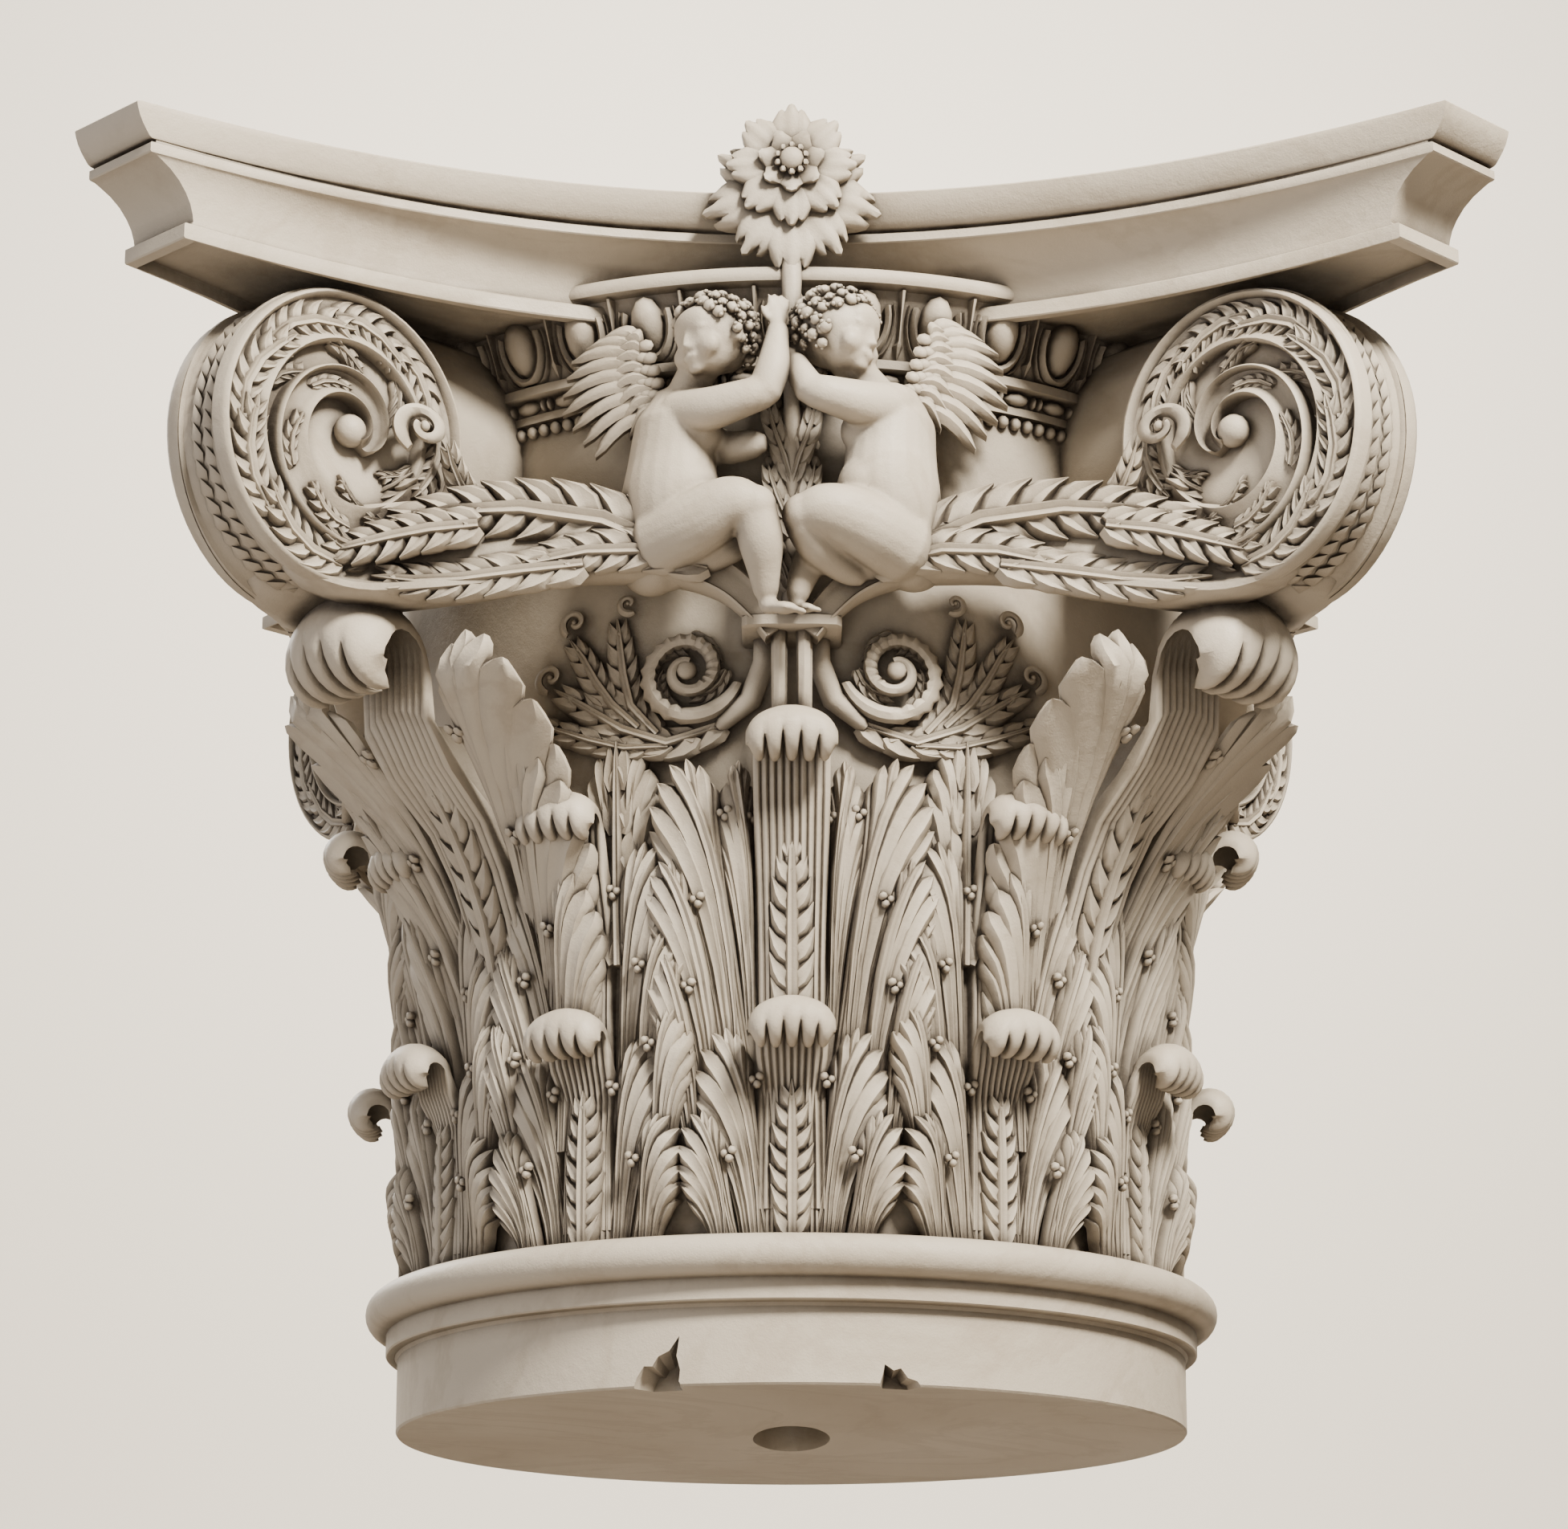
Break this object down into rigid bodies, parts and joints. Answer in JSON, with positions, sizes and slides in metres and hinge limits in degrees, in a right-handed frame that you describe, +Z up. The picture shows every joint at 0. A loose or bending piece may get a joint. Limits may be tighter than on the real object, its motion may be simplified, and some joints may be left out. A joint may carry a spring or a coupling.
{
  "type": "column capital",
  "caption": "Carved marble composite capital with curling acanthus leaves, corner volutes, a hollow-sided abacus and two winged boys holding up a flower.",
  "frame": {"origin": "middle of the round underside", "axes": "+Z up the column's axis, -Y the front with the boys, +X to the viewer's right"},
  "size_m": [1.024, 1.024, 0.9248],
  "materials": {
    "marble": "honed, with darker recesses"
  },
  "bodies": {
    "root": {"capital": "marble"}
  },
  "joints": []
}
